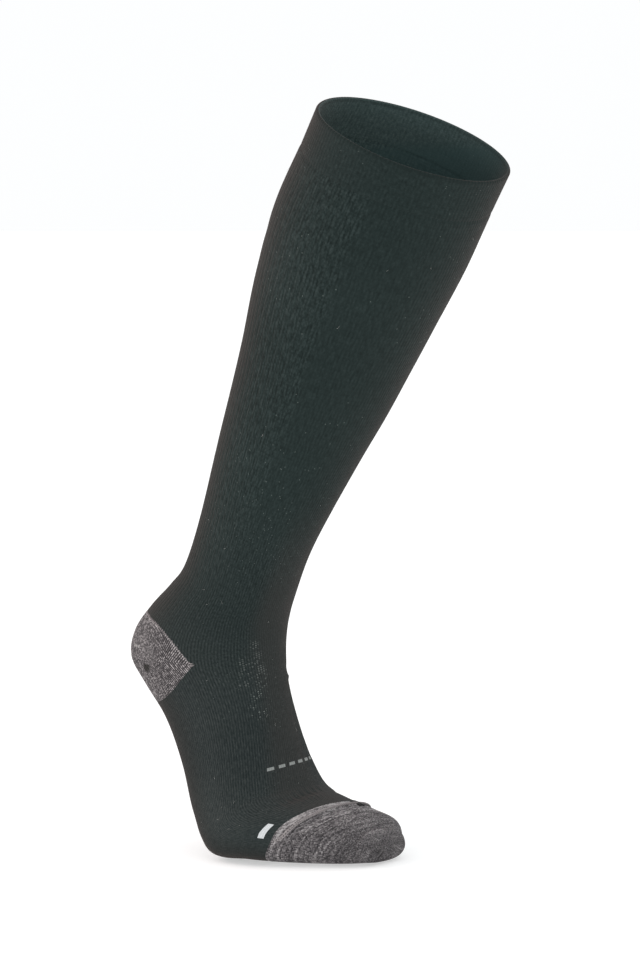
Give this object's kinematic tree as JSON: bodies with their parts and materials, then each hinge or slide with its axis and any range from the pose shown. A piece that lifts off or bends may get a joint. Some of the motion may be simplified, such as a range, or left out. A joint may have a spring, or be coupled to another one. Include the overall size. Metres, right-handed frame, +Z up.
{
  "type": "compression stocking",
  "caption": "Hollow knee-high compression stocking for a right foot in dark ribbed knit, with a turned welt and melange heel and toe pockets, filled out with the heel lifted.",
  "frame": {"origin": "centre of the mouth, where the welt grips the leg below the knee; the wearer's leg holds the stocking up there", "axes": "+X forward from heel to toes, +Y to the wearer's left, towards the big toe, +Z up"},
  "size_m": [0.2742, 0.1294, 0.4619],
  "materials": {
    "dark_knit": "matte fine rib knit of polyamide and elastane with a faint sheen at the edges",
    "melange_knit": "matte terry-backed melange knit, light and dark grey yarns mixed"
  },
  "bodies": {
    "root": {"welt": "dark_knit", "leg_upper": "dark_knit", "leg_lower": "dark_knit", "heel": "melange_knit", "foot": "dark_knit", "toe": "melange_knit"}
  },
  "joints": []
}
